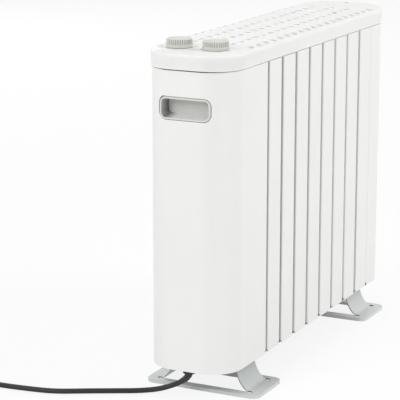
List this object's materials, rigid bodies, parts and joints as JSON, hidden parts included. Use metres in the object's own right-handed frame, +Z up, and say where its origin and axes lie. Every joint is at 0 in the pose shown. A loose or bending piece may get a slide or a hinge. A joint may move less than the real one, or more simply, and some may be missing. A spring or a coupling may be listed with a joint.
{
  "type": "oil-free radiator",
  "caption": "Slim free-standing electric radiator: upright slats between rounded end covers, slotted top cap, turning knobs, handle recesses, pressed feet and a coiled mains cord.",
  "frame": {"origin": "on the floor under the middle of the body", "axes": "+X along the body away from the control end, +Z up, the front long side faces -Y"},
  "size_m": [0.7785, 0.4346, 0.4683],
  "materials": {
    "white_steel": "white powder coat on steel sheet",
    "white_fin": "white powder coat on extruded aluminium",
    "white_plastic": "white moulded plastic, fine grain",
    "cup_plastic": "grey moulded plastic",
    "knob_plastic": "light grey moulded plastic",
    "foot_steel": "silver-grey coat on pressed steel",
    "plated_steel": "zinc-plated steel sheet",
    "rail_aluminium": "plain extruded aluminium",
    "screw_steel": "zinc-plated steel",
    "element_steel": "heat-toned steel sheath",
    "ceramic": null,
    "brass": "plain brass",
    "control_plastic": "dark heat-proof plastic",
    "wire_insulation": "silicone insulation",
    "black_rubber": "black flexible jacket",
    "tie_fabric": "woven strap"
  },
  "bodies": {
    "heater": {"end_cover_near": "white_steel", "end_cover_far": "white_steel", "fin_1": "white_fin", "fin_2": "white_fin", "fin_3": "white_fin", "fin_4": "white_fin", "fin_5": "white_fin", "fin_6": "white_fin", "fin_7": "white_fin", "top_cap": "white_plastic", "handle_cup_near": "cup_plastic", "handle_cup_far": "cup_plastic", "foot_near": "foot_steel", "foot_far": "foot_steel", "bulkhead_near": "plated_steel", "bulkhead_far": "plated_steel", "base_pan_near": "plated_steel", "base_pan_far": "plated_steel", "control_shelf": "plated_steel", "far_shelf": "plated_steel", "cap_strap": "plated_steel", "slit_strips": "plated_steel", "rails": "rail_aluminium", "rail_screws": "screw_steel", "cap_screws": "screw_steel", "foot_screws": "screw_steel", "element_low": "element_steel", "element_high": "element_steel", "element_bushings": "ceramic", "element_terminals": "brass", "plug_pins": "brass", "thermostat": "control_plastic", "selector_switch": "control_plastic", "thermal_cutout": "control_plastic", "tilt_switch": "control_plastic", "terminal_block": "control_plastic", "wires": "wire_insulation", "cord_gland": "black_rubber", "cord_lead": "black_rubber", "cord_free": "black_rubber", "cord_coil": "black_rubber", "plug": "black_rubber", "cord_tie": "tie_fabric"},
    "thermostat_dial": {"thermostat_knob": "knob_plastic", "thermostat_shaft": "screw_steel"},
    "selector_dial": {"selector_knob": "knob_plastic", "selector_shaft": "screw_steel"}
  },
  "joints": [
    {"name": "thermostat_turn", "type": "hinge", "parent": "heater", "child": "thermostat_dial", "pos_m": [-0.2445, 0.0226, 0.463], "axis": [0, 0, -1], "range_deg": [0, 270]},
    {"name": "selector_turn", "type": "hinge", "parent": "heater", "child": "selector_dial", "pos_m": [-0.2445, -0.0284, 0.463], "axis": [0, 0, -1], "range_deg": [0, 135]}
  ]
}
